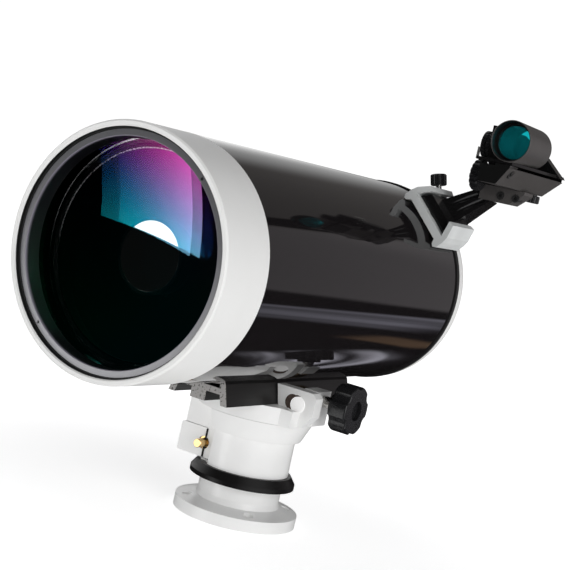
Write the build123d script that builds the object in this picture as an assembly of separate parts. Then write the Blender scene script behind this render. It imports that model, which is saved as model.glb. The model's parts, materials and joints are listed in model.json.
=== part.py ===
from build123d import *
from math import cos, pi, radians, sin, sqrt
import os

# A small maksutov telescope on its declination head, in millimetres.
# Origin: centre of the head's bottom flange. The telescope points along -Y and +Z is up,
# along the declination axis. Distances "behind" are measured from the front cell's face.

# ---- driving dimensions -------------------------------------------------------------------
AXIS_Z = 170.0  # height of the optical axis above the flange
FRONT_Y = -195.0  # the front cell's face
CELL_R = 73.0  # outside of the front cell
CELL_LENGTH = 43.7
TUBE_R = 72.9
TUBE_WALL = 1.5
TUBE_END = 315.5  # behind the front face
LENS_R = 65.5
LENS_THICK = 18.4
LENS_VERTEX = 24.4  # depth of the front surface at its middle
LENS_FRONT_CURVE = 243.0
LENS_REAR_CURVE = 248.6
CLEAR_R = 64.3  # inside of the retaining ring
RING_FACE = 3.6  # depth of the retaining ring's face
SPANNER_ANGLE = 48.5
SPOT_R = 20.8
MIRROR_R = 68.5
MIRROR_CURVE = 660.0
BAFFLE_R = 15.0
EYEPIECE_R = 15.93  # bore for 31.7 mm eyepieces
RUN = 0.05  # radial clearance of a running fit
BAR_START = 116.5
BAR_END = 284.0
BAR_BOTTOM = 86.0  # below the optical axis
BAR_HALF = 22.2
SHOE_START = 273.2
SHOE_END = 313.2
CLAMP_Y = 13.0
CLAMP_DROP = 80.0  # clamp screw's axis below the optical axis
KNOB_R = 16.5
SADDLE_R = 40.0
SADDLE_BOTTOM = 72.7
HOUSING_TOP = 72.4
HOUSING_R = 30.2
WORM_X = -23.6
WORM_Z = 44.8
WHEEL_R = 17.5
SHAFT_R = 10.0
FLANGE_R = 42.0
FLANGE_THICK = 8.0
FLANGE_PCD = 70.0
HOOD_X = 109.0  # the finder's window tube, to the side of the optical axis
HOOD_RISE = 116.0  # and above it
HOOD_R = 14.1
BAR_SCREWS = (135.0, 266.0)
SHOE_SCREWS = (281.0, 295.5)
SHOE_ANGLE = 45  # the finder shoe, round the tube from +X towards +Z
SHOE_SCREW_Y = 300.0
FOOT_FLOOR = 80.2
REAR_WALL = 331.0
REAR_FACE = 336.5
PORT_END = 343.0
FOCUS_X = -42.0
COLLIMATION_R = 55.0
COLLIMATION_ANGLES = (30, 150, 270)
RING_MIDDLE = 363.0
VISUAL_SCREWS = {"upper": 90, "side": 0}
CIRCLE_TOP = 33.5
BLOCK_FRONT = -20.0
BLOCK_BACK = 20.0
BLOCK_X = (-43.5, -13.7)
BLOCK_Z = (35.0, 55.0)
WORM_JOURNAL = 3.5
HOOD_BORE = 13.1
FOOT_START = 278.0
FOOT_END = 317.0
CLAMP_FRONT = 300.0
CLAMP_BACK = 318.0
PAN_X = 100.2
PAN_DISTANCE = 309.0
TILT_DISTANCE = 270.0
TILT_RISE = 94.5
BASE_START = 262.0
BASE_END = 332.0
BASE_FLOOR = 86.3
BASE_TOP = 98.6
BODY_FLOOR = 100.6
BODY_SKIN = 102.6
RIB_X = (102.0, 104.5)  # the body's rib, which closes the gap above the base
BOLT_X = (94.5, 106.0)
TAB_START = 292.0
TAB_END = 297.0
TAB_RISE = 102.1
DIAL_PLACE = (295.0, 113.0)  # distance behind the front face, height above the axis
WINDAGE_PLACE = (289.0, 90.8)
WINDAGE_R = 10.9
ELEVATION_PLACE = (109.5, 325.0)  # x, distance behind the front face

RIGHT = Vector(1, 0, 0)
BACK = Vector(0, 1, 0)
UP = Vector(0, 0, 1)

os.makedirs("parts", exist_ok=True)


# ---- helpers ------------------------------------------------------------------------------
def behind(distance):
    """Y of a place this far behind the front cell's face."""
    return FRONT_Y + distance


def keep(node, *solids):
    """Writes one node's solids to its STEP file."""
    shape = solids[0] if len(solids) == 1 else Compound(children=list(solids))
    export_step(shape, f"parts/{node}.step")


def turned_face(face, origin, direction):
    """Revolves a face drawn as (radius, distance along) about an axis."""
    direction = Vector(direction)
    side = UP if abs(direction.Z) < 0.9 else RIGHT
    side = (side - direction * side.dot(direction)).normalized()
    plane = Plane(origin=origin, x_dir=side, z_dir=side.cross(direction))
    return revolve(plane * face, Axis(origin, direction), 360)


def turned(profile, origin, direction):
    """Revolves a polygon of (radius, distance along) points about an axis."""
    return turned_face(make_face(Polyline(*profile, close=True)), origin, direction)


def optic(profile):
    """A part turned about the optical axis; points are (radius, distance behind)."""
    return turned(profile, (0, FRONT_Y, AXIS_Z), BACK)


def rod(radius, length, origin, direction):
    """A plain cylinder from origin along direction."""
    return turned([(0, 0), (radius, 0), (radius, length), (0, length)], origin, direction)


def sleeve(inner, outer, length, origin, direction):
    """A plain tube from origin along direction."""
    return turned([(inner, 0), (outer, 0), (outer, length), (inner, length)], origin, direction)


def block(x0, x1, y0, y1, z0, z1):
    """A box between two corners."""
    middle = Pos((x0 + x1) / 2, (y0 + y1) / 2, (z0 + z1) / 2)
    return middle * Box(x1 - x0, y1 - y0, z1 - z0)


def prism(points, plane, length):
    """Extrudes a polygon drawn on a plane along its normal."""
    return extrude(plane * make_face(Polyline(*points, close=True)), length)


def frame_along(origin, direction):
    """A plane at origin whose normal is direction."""
    direction = Vector(direction).normalized()
    side = BACK if abs(direction.Y) < 0.9 else RIGHT
    side = (side - direction * side.dot(direction)).normalized()
    return Plane(origin=origin, x_dir=side, z_dir=direction)


def socket_screw(head_r, head_len, shank_r, shank_len, origin, direction):
    """A socket-head screw whose head seats at origin and stands out along direction."""
    screw = Cylinder(head_r, head_len, align=(Align.CENTER, Align.CENTER, Align.MIN))
    screw += Pos(0, 0, -shank_len) * Cylinder(
        shank_r, shank_len, align=(Align.CENTER, Align.CENTER, Align.MIN)
    )
    socket = extrude(RegularPolygon(head_r * 0.55, 6), head_len * 0.6)
    screw -= Pos(0, 0, head_len * 0.4) * socket
    return frame_along(origin, direction).location * screw


def ribbed(radius, length, ribs, depth, origin, direction):
    """A grip cylinder with straight ribs round it and bevelled ends."""
    points = []
    for i in range(ribs * 4):
        reach = radius if i % 4 in (0, 1) else radius - depth
        angle = 2 * pi * i / (ribs * 4)
        points.append((reach * cos(angle), reach * sin(angle)))
    body = extrude(make_face(Polyline(*points, close=True)), length)
    bevel = min(length, radius) * 0.12
    hull = turned(
        [(0, 0), (radius - bevel, 0), (radius, bevel), (radius, length - bevel),
         (radius - bevel, length), (0, length)],
        (0, 0, 0), UP,
    )
    return frame_along(origin, direction).location * (body & hull)


def thumbscrew(head_r, head_len, gap, shank_r, depth, origin, direction):
    """A ribbed thumbscrew; origin is where its shank enters, gap the bare shank outside."""
    direction = Vector(direction).normalized()
    origin = Vector(*origin) if isinstance(origin, tuple) else origin
    head = ribbed(head_r, head_len, 24, 0.35, origin + direction * gap, direction)
    shank = rod(shank_r, depth + gap + 1, origin - direction * depth, direction)
    return head, shank


def sag(radius, curve):
    """Depth of a spherical surface at a radius."""
    return curve - sqrt(curve * curve - radius * radius)


# ---- optical tube -------------------------------------------------------------------------
def front_cell():
    opening = 62.5
    seat = LENS_VERTEX + LENS_THICK - sag(opening, LENS_REAR_CURVE) + 0.05
    bore = LENS_R + 0.2
    return optic([
        (CELL_R, 1.0), (CELL_R - 1.0, 0), (70.0, 0), (69.3, 0.7), (69.3, 4.6), (68.2, 4.6),
        (68.2, 7.4), (bore, 7.4), (bore, seat), (opening, seat), (opening, seat + 3.5),
        (69.5, seat + 6.5), (69.5, CELL_LENGTH + 12), (71.3, CELL_LENGTH + 12),
        (71.3, CELL_LENGTH), (CELL_R, CELL_LENGTH),
    ])


def corrector_lens():
    """A deep meniscus, hollow towards the sky."""
    rear = LENS_VERTEX + LENS_THICK
    edge_front = LENS_VERTEX - sag(LENS_R, LENS_FRONT_CURVE)
    edge_rear = rear - sag(LENS_R, LENS_REAR_CURVE)
    half = LENS_R / 2
    outline = [
        ThreePointArc((0, LENS_VERTEX), (half, LENS_VERTEX - sag(half, LENS_FRONT_CURVE)),
                      (LENS_R, edge_front)),
        Line((LENS_R, edge_front), (LENS_R, edge_rear)),
        ThreePointArc((LENS_R, edge_rear), (half, rear - sag(half, LENS_REAR_CURVE)), (0, rear)),
        Line((0, rear), (0, LENS_VERTEX)),
    ]
    return turned_face(make_face(outline), (0, FRONT_Y, AXIS_Z), BACK)


def secondary_spot():
    """The aluminised disc on the corrector's inner face, as a thin shell."""
    near = LENS_VERTEX + LENS_THICK + 0.02
    far = near + 0.3
    half = SPOT_R / 2
    outline = [
        ThreePointArc((0, near), (half, near - sag(half, LENS_REAR_CURVE)),
                      (SPOT_R, near - sag(SPOT_R, LENS_REAR_CURVE))),
        Line((SPOT_R, near - sag(SPOT_R, LENS_REAR_CURVE)),
             (SPOT_R, far - sag(SPOT_R, LENS_REAR_CURVE))),
        ThreePointArc((SPOT_R, far - sag(SPOT_R, LENS_REAR_CURVE)),
                      (half, far - sag(half, LENS_REAR_CURVE)), (0, far)),
        Line((0, far), (0, near)),
    ]
    return turned_face(make_face(outline), (0, FRONT_Y, AXIS_Z), BACK)


def retaining_ring():
    """A threaded ring whose skirt reaches down to the edge of the glass."""
    glass = LENS_VERTEX - sag(LENS_R, LENS_FRONT_CURVE) - 0.05
    ring = optic([
        (CLEAR_R, RING_FACE + 0.3), (CLEAR_R + 0.3, RING_FACE), (68.1, RING_FACE), (68.1, 7.2),
        (LENS_R, 7.2), (LENS_R, glass), (CLEAR_R, glass),
    ])
    middle = (CLEAR_R + 68.1) / 2
    for turn in (0, 180):
        angle = radians(SPANNER_ANGLE + turn)
        place = (middle * cos(angle), behind(RING_FACE), AXIS_Z + middle * sin(angle))
        ring -= rod(0.9, 1.6, place, BACK)
    return ring


def secondary_baffle():
    """A short tapered tube standing round the spot on the corrector's inner face."""
    inner = SPOT_R + 0.3
    start = LENS_VERTEX + LENS_THICK - sag(inner, LENS_REAR_CURVE) + 0.05
    return optic([(inner, start), (inner + 1.7, start), (inner + 0.9, start + 15.5),
                  (inner, start + 15.5)])


def radial(angle, radius, distance):
    """A place at an angle about the optical axis, from +X towards +Z."""
    turn = radians(angle)
    return Vector(radius * cos(turn), behind(distance), AXIS_Z + radius * sin(turn))


def outward(angle):
    turn = radians(angle)
    return Vector(cos(turn), 0, sin(turn))


def main_tube():
    inner = TUBE_R - TUBE_WALL
    start = CELL_LENGTH + 0.1
    tube = optic([(inner, start), (TUBE_R, start), (TUBE_R, TUBE_END), (inner, TUBE_END)])
    for distance in BAR_SCREWS:
        tube -= rod(3.0, 6, radial(-90, TUBE_R - 4, distance), outward(-90))
    for distance in SHOE_SCREWS:
        tube -= rod(2.05, 6, radial(SHOE_ANGLE, TUBE_R - 4, distance), outward(SHOE_ANGLE))
    return tube


def rear_cell():
    outline = [
        Line((71.3, 300), (71.3, 317.5)),
        Line((71.3, 317.5), (73.2, 317.5)),
        Line((73.2, 317.5), (73.4, 318.3)),
        Line((73.4, 318.3), (73.4, 322)),
        ThreePointArc((73.4, 322), (69.8, 332.2), (60.5, REAR_FACE)),
        Line((60.5, REAR_FACE), (22.5, REAR_FACE)),
        Line((22.5, REAR_FACE), (22.5, PORT_END)),
        Line((22.5, PORT_END), (18.0, PORT_END)),
        Line((18.0, PORT_END), (18.0, REAR_WALL)),
        Line((18.0, REAR_WALL), (59, REAR_WALL)),
        ThreePointArc((59, REAR_WALL), (66.5, 328.5), (69.8, 321)),
        Line((69.8, 321), (69.8, 300)),
        Line((69.8, 300), (71.3, 300)),
    ]
    cell = turned_face(make_face(outline), (0, FRONT_Y, AXIS_Z), BACK)
    cell -= rod(7.0, 10, (FOCUS_X, behind(REAR_WALL - 1), AXIS_Z), BACK)
    for angle in COLLIMATION_ANGLES:
        for offset, radius in ((-5, 2.05), (5, 1.55)):
            cell -= rod(radius, 10, radial(angle + offset, COLLIMATION_R, REAR_WALL - 1), BACK)
    return cell


def collimation_screws():
    """A pull screw and a smaller push screw at each of three places."""
    screws = []
    for angle in COLLIMATION_ANGLES:
        for offset, head, shank in ((-5, 3.6, 2.0), (5, 2.6, 1.5)):
            place = radial(angle + offset, COLLIMATION_R, REAR_FACE + 0.02)
            screws.append(socket_screw(head, 2.4, shank, 5.2, place, BACK))
    return screws


def primary_mirror():
    vertex = 287.4
    half = 45.0
    hole = 18.9
    outline = [
        ThreePointArc((hole, vertex - sag(hole, MIRROR_CURVE)),
                      (half, vertex - sag(half, MIRROR_CURVE)),
                      (MIRROR_R, vertex - sag(MIRROR_R, MIRROR_CURVE))),
        Line((MIRROR_R, vertex - sag(MIRROR_R, MIRROR_CURVE)), (MIRROR_R, 298)),
        Line((MIRROR_R, 298), (60, 305.8)),
        Line((60, 305.8), (hole, 305.8)),
        Line((hole, 305.8), (hole, vertex - sag(hole, MIRROR_CURVE))),
    ]
    return turned_face(make_face(outline), (0, FRONT_Y, AXIS_Z), BACK)


def mirror_carrier():
    """The sleeve that slides on the baffle tube, with its flange and the focus nut's boss."""
    inner = BAFFLE_R + RUN
    carrier = optic([
        (inner, 268), (18.8, 268), (18.8, 306), (50, 306), (50, 311), (20, 311), (20, 320),
        (inner, 320),
    ])
    carrier += rod(7, 9.5, (FOCUS_X, behind(310.5), AXIS_Z), BACK)
    carrier -= rod(3.0 + RUN, 20, (FOCUS_X, behind(303), AXIS_Z), BACK)
    return carrier


def focus_screw():
    return turned(
        [(0, 312.4), (3, 312.4), (3, 325.8), (5.5, 325.8), (5.5, 328.8), (3, 328.8), (3, 352),
         (0, 352)],
        (FOCUS_X, FRONT_Y, AXIS_Z), BACK,
    )


def focus_bush():
    return turned(
        [(3.0 + RUN, 329.2), (6.9, 329.2), (6.9, 336.6), (10, 336.6), (10, 339), (3.0 + RUN, 339)],
        (FOCUS_X, FRONT_Y, AXIS_Z), BACK,
    )


def focus_knob():
    knob = ribbed(13.5, 20, 30, 0.8, (FOCUS_X, behind(340), AXIS_Z), BACK)
    return knob - rod(3.0, 13, (FOCUS_X, behind(339), AXIS_Z), BACK)


def visual_back():
    """Screws on the rear port and takes a 31.7 mm barrel."""
    back = optic([
        (22.6, 337.4), (25.5, 337.4), (25.5, 345), (21.5, 347), (21.5, 371.2), (20.7, 372),
        (EYEPIECE_R + 0.6, 372), (EYEPIECE_R, 371.4), (EYEPIECE_R, RING_MIDDLE + 3.2),
        (17.5, RING_MIDDLE + 3.2), (17.5, RING_MIDDLE - 3.2), (EYEPIECE_R, RING_MIDDLE - 3.2),
        (EYEPIECE_R, 346.5), (14.5, 346.5), (14.5, 343.2), (22.6, 343.2),
    ])
    for angle in VISUAL_SCREWS.values():
        back -= rod(2.0, 10, radial(angle, 16.5, RING_MIDDLE), outward(angle))
    return back


def compression_ring():
    ring = optic([
        (EYEPIECE_R, RING_MIDDLE - 3), (17.3, RING_MIDDLE - 3),
        (17.3, RING_MIDDLE + 3), (EYEPIECE_R, RING_MIDDLE + 3),
    ])
    middle = behind(RING_MIDDLE)
    return ring - block(-25, 0, middle - 4, middle + 4, AXIS_Z - 1.5, AXIS_Z + 1.5)


def build_tube():
    keep("front_cell", front_cell())
    keep("corrector_lens", corrector_lens())
    keep("secondary_spot", secondary_spot())
    keep("secondary_baffle", secondary_baffle())
    keep("retaining_ring", retaining_ring())
    keep("lens_gasket", optic([(68.3, 2.7), (69.2, 2.7), (69.2, 4.5), (68.3, 4.5)]))
    keep("main_tube", main_tube())
    keep("rear_trim_ring", optic([
        (73.0, 313.4), (73.8, 313.4), (73.8, 317.4), (71.4, 317.4), (71.4, 315.6), (73.0, 315.6),
    ]))
    keep("rear_cell", rear_cell())
    keep("collimation_screws", *collimation_screws())
    keep("baffle_tube", optic([
        (13.4, 180), (BAFFLE_R, 180), (BAFFLE_R, 326), (24, 326), (24, 330.9), (17.9, 330.9),
        (17.9, 340), (13.4, 340),
    ]))
    keep("primary_mirror", primary_mirror())
    keep("mirror_carrier", mirror_carrier())
    keep("mirror_nut", optic([(18.85, 280), (24, 280), (24, 286.7), (18.85, 286.7)]))
    keep("focus_screw", focus_screw())
    keep("focus_bush", focus_bush())
    keep("focus_knob", focus_knob())
    keep("visual_back", visual_back())
    keep("compression_ring", compression_ring())
    for name, angle in VISUAL_SCREWS.items():
        head, shank = thumbscrew(
            4.6, 8, 1.5, 1.95, 3.9, radial(angle, 21.5, RING_MIDDLE), outward(angle)
        )
        keep(f"visual_back_screw_{name}", head + shank)


# ---- dovetail bar -------------------------------------------------------------------------
def dovetail_bar():
    """A drawn bar: two dovetail legs, a centre rib, a web and a cradle against the tube."""
    def z(drop):
        return AXIS_Z - drop

    cradle_r = TUBE_R + 0.05
    edge = 17.3
    edge_drop = sqrt(cradle_r ** 2 - edge ** 2)
    half = [
        (5.5, BAR_BOTTOM), (5.5, 79.5), (15.7, 79.5), (17.6, BAR_BOTTOM),
        (BAR_HALF, BAR_BOTTOM), (18.3, 72.4), (edge, edge_drop),
    ]
    start = behind(BAR_START)
    plane = Plane(origin=(0, start, 0), x_dir=(-1, 0, 0), z_dir=BACK)
    outline = [(x, z(drop)) for x, drop in half]
    outline += [(-x, z(drop)) for x, drop in reversed(half)]
    bar = prism(outline, plane, BAR_END - BAR_START)
    bar -= rod(cradle_r, BAR_END - BAR_START + 2, (0, start - 1, AXIS_Z), BACK)
    hollow = block(-14.5, 14.5, start - 1, behind(BAR_END) + 1, z(75.6), z(70))
    hollow -= rod(cradle_r + 1.2, BAR_END - BAR_START + 4, (0, start - 2, AXIS_Z), BACK)
    bar -= hollow
    for distance in BAR_SCREWS:
        bar -= rod(3.0, 20, (0, behind(distance), z(90)), UP)
        bar -= rod(4.5, 5.1, (0, behind(distance), z(BAR_BOTTOM) - 0.1), UP)
    return bar


def bar_screws():
    seat = AXIS_Z - BAR_BOTTOM + 5.0
    return [
        socket_screw(4.3, 4.5, 2.9, 14.5, (0, behind(distance), seat), -UP)
        for distance in BAR_SCREWS
    ]


# ---- finder shoe and its thumbscrew ------------------------------------------------------
SHOE_SIDE = outward(SHOE_ANGLE - 90)  # across the shoe
SHOE_UP = outward(SHOE_ANGLE)  # out of the shoe
LEG_SLANT = radians(60)


def shoe_place(across, out, distance):
    """A place in the shoe's own directions, measured from the optical axis."""
    return Vector(0, behind(distance), AXIS_Z) + SHOE_SIDE * across + SHOE_UP * out


def shoe_prism(points, start, end):
    """Extrudes an (across, out) polygon between two distances behind the front face."""
    plane = Plane(origin=(0, behind(end), AXIS_Z), x_dir=SHOE_SIDE, z_dir=(0, -1, 0))
    return prism(points, plane, end - start)


def leg_normal():
    """Outward normal of the shoe's upper leg."""
    return SHOE_SIDE * -sin(LEG_SLANT) + SHOE_UP * cos(LEG_SLANT)


def finder_shoe():
    half = [
        (16.5, 74.3), (18.6, 71.3), (20.7, 70.6), (22.4, 72.6), (22.3, 78.5), (21.3, 83.0),
        (16.6, 91.2), (12.7, 90.4), (17.9, 80.0),
    ]
    outline = half + [(-across, out) for across, out in reversed(half)]
    shoe = shoe_prism(outline, SHOE_START, SHOE_END)
    shoe -= rod(2.05, 20, shoe_place(-19, 87.1, SHOE_SCREW_Y) - leg_normal() * 10, leg_normal())
    for distance in SHOE_SCREWS:
        shoe -= rod(2.05, 12, shoe_place(0, 70, distance), SHOE_UP)
        shoe -= rod(3.7, 3, shoe_place(0, 77.6, distance), SHOE_UP)
    return shoe


def shoe_screws():
    return [
        socket_screw(3.4, 2.2, 2.0, 7.4, shoe_place(0, 77.65, distance), SHOE_UP)
        for distance in SHOE_SCREWS
    ]


# ---- red-dot finder -----------------------------------------------------------------------
def at(x, distance, rise):
    """A place by x, distance behind the front face and height above the optical axis."""
    return Vector(x, behind(distance), AXIS_Z + rise)


def cross_section(points, distance):
    """A face across the telescope, drawn as (x, height above the optical axis)."""
    plane = Plane(origin=(0, behind(distance), AXIS_Z), x_dir=(1, 0, 0), z_dir=(0, -1, 0))
    return plane * make_face(Polyline(*points, close=True))


def slab(points, start, end):
    """Extrudes an (x, height) polygon between two distances behind the front face."""
    return extrude(cross_section(points, end), end - start)


def bracket_outline():
    return [(79, 75.4), (102, 75.4), (111.5, 83.8), (111.5, 86.0), (79, 86.0)]


def finder_arm():
    """The dovetail foot and the tapered, fluted stalk that stands on it."""
    foot = shoe_prism(
        [(-16.2, FOOT_FLOOR), (16.2, FOOT_FLOOR), (12.3, 88), (-12.3, 88)], FOOT_START, FOOT_END
    )
    root = [shoe_place(-9.4, 87.5, 292), shoe_place(9.4, 87.5, 292),
            shoe_place(9.4, 87.5, 317), shoe_place(-9.4, 87.5, 317)]
    tip = [shoe_place(-3.4, 114, 302), shoe_place(8.6, 114, 302),
           shoe_place(8.6, 114, 318), shoe_place(-3.4, 114, 318)]
    stalk = loft([make_face(Polyline(*root, close=True)), make_face(Polyline(*tip, close=True))])
    flute_root = shoe_place(-3.2, 92, 291.5)
    flute_tip = shoe_place(0.4, 112, 300.6)
    for offset in (0, 6.6):
        start = flute_root + SHOE_SIDE * offset
        run = flute_tip + SHOE_SIDE * offset * 0.75 - start
        stalk -= rod(2.0, run.length, start, run.normalized())
    arm = foot + stalk
    arm -= slab([(79, 75.3), (120, 75.3), (120, 90), (79, 90)], CLAMP_FRONT - 8, CLAMP_BACK + 8)
    return arm


def finder_clamp():
    clamp = slab(bracket_outline(), CLAMP_FRONT, CLAMP_BACK)
    clamp -= rod(2.0 + RUN, 12, at(PAN_X, PAN_DISTANCE, 79), UP)
    for x in BOLT_X:
        clamp -= rod(1.55, 13, at(x, CLAMP_FRONT - 1, 80.3), BACK)
        clamp -= rod(2.9, 2.2, at(x, CLAMP_FRONT - 0.1, 80.3), BACK)
    return clamp


def clamp_bolts():
    return [
        socket_screw(2.7, 2.6, 1.5, 9, at(x, CLAMP_FRONT + 2.1, 80.3), (0, -1, 0)) for x in BOLT_X
    ]


def finder_base():
    """A wedge that widens to the rear; it pans on the clamp and carries the body."""
    front = [(90, BASE_FLOOR), (103.5, BASE_FLOOR), (111.0, BASE_TOP), (90, BASE_TOP)]
    rear = [(90, BASE_FLOOR), (113.0, BASE_FLOOR), (125.6, BASE_TOP), (90, BASE_TOP)]
    base = loft([cross_section(front, BASE_START), cross_section(rear, BASE_END)], ruled=True)
    base -= rod(2.0 + RUN, 7, at(PAN_X, PAN_DISTANCE, 86), UP)
    slot = TILT_DISTANCE
    base -= block(93.7, 100.3, behind(slot - 5), behind(slot + 5), AXIS_Z + 90, AXIS_Z + 99)
    base += slab([(100.6, BASE_TOP - 1), (110.4, BASE_TOP - 1), (111.5, BODY_FLOOR - 0.3),
                  (100.6, BODY_FLOOR - 0.3)], BASE_START, TILT_DISTANCE + 7)
    base -= block(RIB_X[0] - 1.1, RIB_X[1] + 1.1, behind(BASE_START + 2), behind(BASE_END - 1),
                  AXIS_Z + TILT_RISE + 0.1, AXIS_Z + BODY_FLOOR)
    base -= rod(1.5, 18, at(91.5, TILT_DISTANCE, TILT_RISE), RIGHT)
    base -= rod(2.95, 12, at(106.7, TILT_DISTANCE, TILT_RISE), RIGHT)
    base -= rod(3.0 + RUN, 7, at(89, WINDAGE_PLACE[0], WINDAGE_PLACE[1]), RIGHT)
    base -= rod(2.5 + RUN, 20, at(ELEVATION_PLACE[0], ELEVATION_PLACE[1], 84), UP)
    return base


def finder_body():
    """Floor plate, battery housing on the left, hinge lug and the emitter's wall."""
    floor = loft([
        cross_section([(86, BODY_FLOOR), (112.3, BODY_FLOOR), (112.3, BODY_SKIN),
                       (86, BODY_SKIN)], BASE_START),
        cross_section([(86, BODY_FLOOR), (126.8, BODY_FLOOR), (125.4, BODY_SKIN),
                       (86, BODY_SKIN)], BASE_END),
    ], ruled=True)
    housing = slab([(86, BODY_FLOOR), (97, BODY_FLOOR), (97, 123), (93, 126), (86, 126)], 280, 330)
    wall = slab([(97, BODY_FLOOR), (126.8, BODY_FLOOR), (112.2, 113.8), (107.5, 113.8),
                 (103, 106), (97, 106)], 322, BASE_END)
    lug = block(94, 100, behind(TILT_DISTANCE - 4), behind(TILT_DISTANCE + 4),
                AXIS_Z + 91, AXIS_Z + BODY_SKIN)
    rib = block(*RIB_X, behind(BASE_START + 4), behind(BASE_END - 2),
                AXIS_Z + BODY_FLOOR - 2.9, AXIS_Z + BODY_FLOOR + 1)
    body = floor + housing + wall + lug + rib
    body -= rod(1.5 + RUN, 20, at(90, TILT_DISTANCE, TILT_RISE), RIGHT)
    body -= rod(HOOD_R + 0.02, 60, at(HOOD_X, 250, HOOD_RISE), BACK)
    body -= rod(10.3, 3.6, at(89.6, 316, 113), RIGHT)
    body -= rod(3.0 + RUN, 2.6, at(85.9, DIAL_PLACE[0], DIAL_PLACE[1]), RIGHT)
    body -= rod(1.6, 5, at(109, 321, 107), BACK)
    body -= block(85, 90.5, behind(TAB_START - 0.3), behind(TAB_END + 0.3),
                  AXIS_Z + TAB_RISE - 0.2, AXIS_Z + TAB_RISE + 0.5)
    return body


def finder_hood():
    return turned(
        [(HOOD_BORE, 0.5), (HOOD_BORE + 0.4, 0), (HOOD_R - 0.3, 0), (HOOD_R, 0.4),
         (HOOD_R, 43.4), (HOOD_R - 0.6, 44), (HOOD_BORE, 44)],
        at(HOOD_X, 258, HOOD_RISE), BACK,
    )


def finder_lens():
    """A weak meniscus with the red-reflecting coat on its hollow side."""
    edge, half, vertex, thick, curve = HOOD_BORE - 0.1, 6.5, 1.3, 2.2, 66.0
    rear = vertex + thick
    outline = [
        ThreePointArc((0, vertex), (half, vertex - sag(half, curve)),
                      (edge, vertex - sag(edge, curve))),
        Line((edge, vertex - sag(edge, curve)), (edge, rear - sag(edge, curve))),
        ThreePointArc((edge, rear - sag(edge, curve)), (half, rear - sag(half, curve)),
                      (0, rear)),
        Line((0, rear), (0, vertex)),
    ]
    return turned_face(make_face(outline), at(HOOD_X, 268.3, HOOD_RISE), BACK)


def brightness_dial():
    """Two ribbed discs with a groove between them."""
    dial = ribbed(9.5, 4.6, 26, 0.6, at(85.6, *DIAL_PLACE), -RIGHT)
    dial += rod(8.2, 2.0, at(81.6, *DIAL_PLACE), -RIGHT)
    dial += ribbed(9.5, 3.2, 26, 0.6, at(80.3, *DIAL_PLACE), -RIGHT)
    return dial + rod(3.0, 3.0, at(85.4, *DIAL_PLACE), RIGHT)


def windage_knob():
    knob = ribbed(WINDAGE_R, 6.0, 15, 1.3, at(83.0, *WINDAGE_PLACE), -RIGHT)
    return knob + rod(3.0, 12.0, at(82.5, *WINDAGE_PLACE), RIGHT)


def elevation_knob():
    x, distance = ELEVATION_PLACE
    knob = ribbed(4.6, 5.4, 18, 0.4, at(x, distance, 85.6), -UP)
    return knob + rod(2.5, 12.5, at(x, distance, 85.2), UP)


def battery_tab():
    """A film strip under the dial, turned up at its outer end for the fingers."""
    y0, y1, z0 = behind(TAB_START), behind(TAB_END), AXIS_Z + TAB_RISE
    strip = block(73.6, 90, y0, y1, z0, z0 + 0.3)
    return strip + block(73.3, 73.6, y0, y1, z0, z0 + 8.5)


def build_finder():
    keep("dovetail_bar", dovetail_bar())
    keep("bar_screws", *bar_screws())
    keep("finder_shoe", finder_shoe())
    keep("shoe_screws", *shoe_screws())
    head, shank = thumbscrew(
        5.8, 8.0, 3.3, 2.0, 4.8, shoe_place(-19, 87.1, SHOE_SCREW_Y), leg_normal()
    )
    keep("shoe_screw_head", head - shank)
    keep("shoe_screw_shank", shank)
    keep("finder_arm", finder_arm())
    keep("finder_clamp", finder_clamp())
    keep("clamp_bolts", *clamp_bolts())
    keep("finder_base", finder_base())
    keep("pan_pin", rod(2.0, 13.5, at(PAN_X, PAN_DISTANCE, 79.2), UP))
    seat = at(106.8, TILT_DISTANCE, TILT_RISE)
    keep("tilt_pin", socket_screw(2.9, 2.8, 1.5, 15.1, seat, RIGHT))
    keep("finder_body", finder_body())
    keep("finder_hood", finder_hood())
    keep("finder_lens", finder_lens())
    ring_place = at(HOOD_X, 266, HOOD_RISE)
    keep("finder_lens_ring", sleeve(11.4, HOOD_BORE - 0.05, 2.2, ring_place, BACK))
    keep("emitter", rod(1.55, 4.5, at(109, 320.5, 107), BACK))
    keep("coin_battery", rod(10.0, 3.2, at(89.8, 316, 113), RIGHT))
    keep("battery_tab", battery_tab())
    keep("brightness_dial", brightness_dial())
    keep("windage_knob", windage_knob())
    keep("elevation_knob", elevation_knob())


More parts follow.
